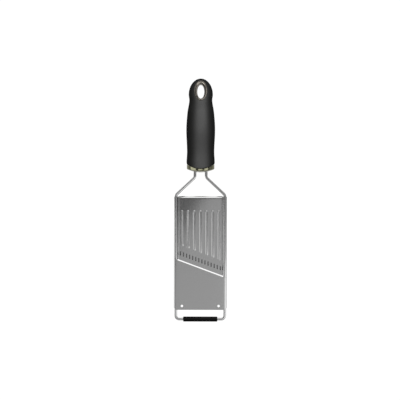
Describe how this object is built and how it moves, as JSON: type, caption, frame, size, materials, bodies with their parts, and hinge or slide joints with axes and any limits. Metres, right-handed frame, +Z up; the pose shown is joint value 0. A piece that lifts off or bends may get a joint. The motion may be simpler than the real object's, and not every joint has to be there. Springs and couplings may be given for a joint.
{
  "type": "julienne slicer",
  "caption": "Flat julienne slicer: bent wire frame with a ribbed ramp, a row of upright teeth and a slanted blade plate, soft-grip handle with hanging eyelet, rubber foot.",
  "frame": {"origin": "On the surface that the slicer lies on, under the middle of its bounding box", "axes": "+Y from the foot to the handle, +X across the plate, +Z up; the plate faces up and rises 2.3 degrees towards the handle"},
  "size_m": [0.07, 0.3196, 0.0281],
  "materials": {
    "wire_steel": "bright drawn",
    "plate_steel": "satin rolled",
    "core_plastic": "moulded",
    "grip_rubber": "soft touch, matt",
    "trim_metal": "bright plated",
    "foot_rubber": "moulded, matt"
  },
  "bodies": {
    "root": {"wire_frame": "wire_steel", "ramp_plate": "plate_steel", "julienne_comb": "plate_steel", "slicing_plate": "plate_steel", "handle_core": "core_plastic", "handle_grip": "grip_rubber", "handle_collar": "trim_metal", "hang_eyelet": "trim_metal", "foot_sleeve": "foot_rubber"}
  },
  "joints": []
}
